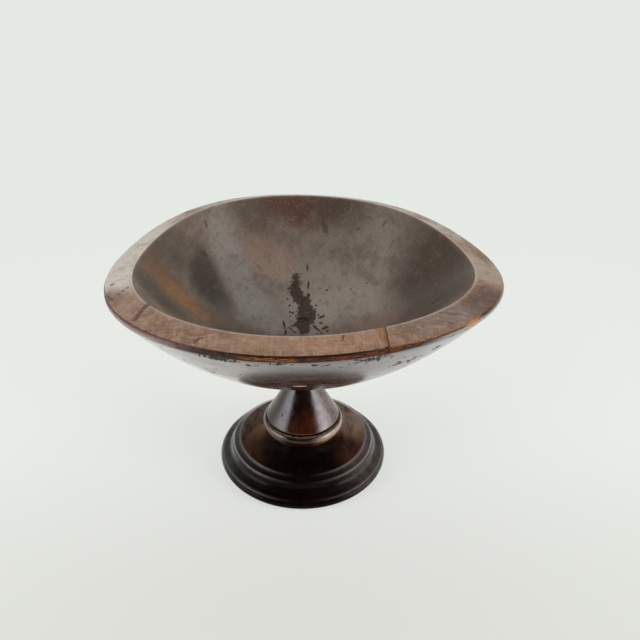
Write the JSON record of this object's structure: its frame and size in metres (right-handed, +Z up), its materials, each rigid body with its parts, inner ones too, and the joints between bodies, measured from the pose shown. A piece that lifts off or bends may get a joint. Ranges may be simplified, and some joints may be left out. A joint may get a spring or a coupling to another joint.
{
  "type": "wooden pedestal bowl",
  "caption": "Turned wooden bowl with a broad bevelled rim, raised on a cone-shaped stem and a round moulded foot, for holding fruit or other loose things.",
  "frame": {"origin": "on the axis of the foot, in the plane that the standing ring rests on", "axes": "+Z up along the stem, -Y towards the front, +X to the right as seen from the front"},
  "size_m": [0.29, 0.3082, 0.2026],
  "materials": {
    "foot_wood": "dark polished, glossy",
    "stem_wood": "dark polished, glossy",
    "wedge_wood": "bare, sawn",
    "bowl_wood": "polished and worn, satin",
    "patch_wood": "worn, matt",
    "screw_iron": "rusted, matt"
  },
  "bodies": {
    "root": {"foot": "foot_wood", "stem": "stem_wood", "stem_wedge": "wedge_wood", "bowl": "bowl_wood", "rim_patch": "patch_wood", "bowl_screw": "screw_iron"}
  },
  "joints": []
}
